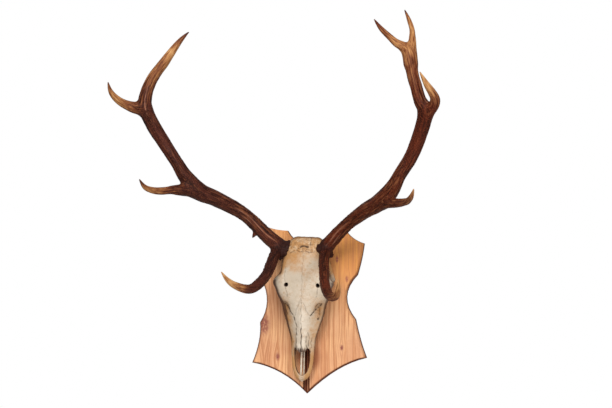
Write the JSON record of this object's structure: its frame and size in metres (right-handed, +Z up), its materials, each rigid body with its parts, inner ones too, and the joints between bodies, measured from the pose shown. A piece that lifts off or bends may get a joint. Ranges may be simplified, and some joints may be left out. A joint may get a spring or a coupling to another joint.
{
  "type": "mounted deer antlers",
  "caption": "Red deer antlers on a cut upper skull, fixed to a carved wooden shield that hangs flat on a wall by a keyhole plate.",
  "frame": {"origin": "on the shield's flat back face, on its middle line, halfway between its top and its bottom tip", "axes": "+X to the viewer's right, +Y into the wall, +Z up"},
  "size_m": [0.7922, 0.3603, 0.9309],
  "materials": {
    "wood": "satin",
    "bone": "matte",
    "antler": "satin",
    "steel": "satin"
  },
  "bodies": {
    "root": {"shield_board": "wood", "skull": "bone", "left_lower_beam": "antler", "left_upper_beam": "antler", "left_inner_crown_tine": "antler", "left_brow_tine": "antler", "left_trez_tine": "antler", "left_outer_crown_tine": "antler", "right_lower_beam": "antler", "right_upper_beam": "antler", "right_crown_stem": "antler", "right_top_inner_tine": "antler", "right_brow_tine": "antler", "right_trez_tine": "antler", "right_front_crown_tine": "antler", "right_top_outer_tine": "antler", "hanger_plate": "steel", "hanger_screw_1": "steel", "hanger_screw_2": "steel", "skull_screw_1": "steel", "skull_screw_2": "steel"}
  },
  "joints": []
}
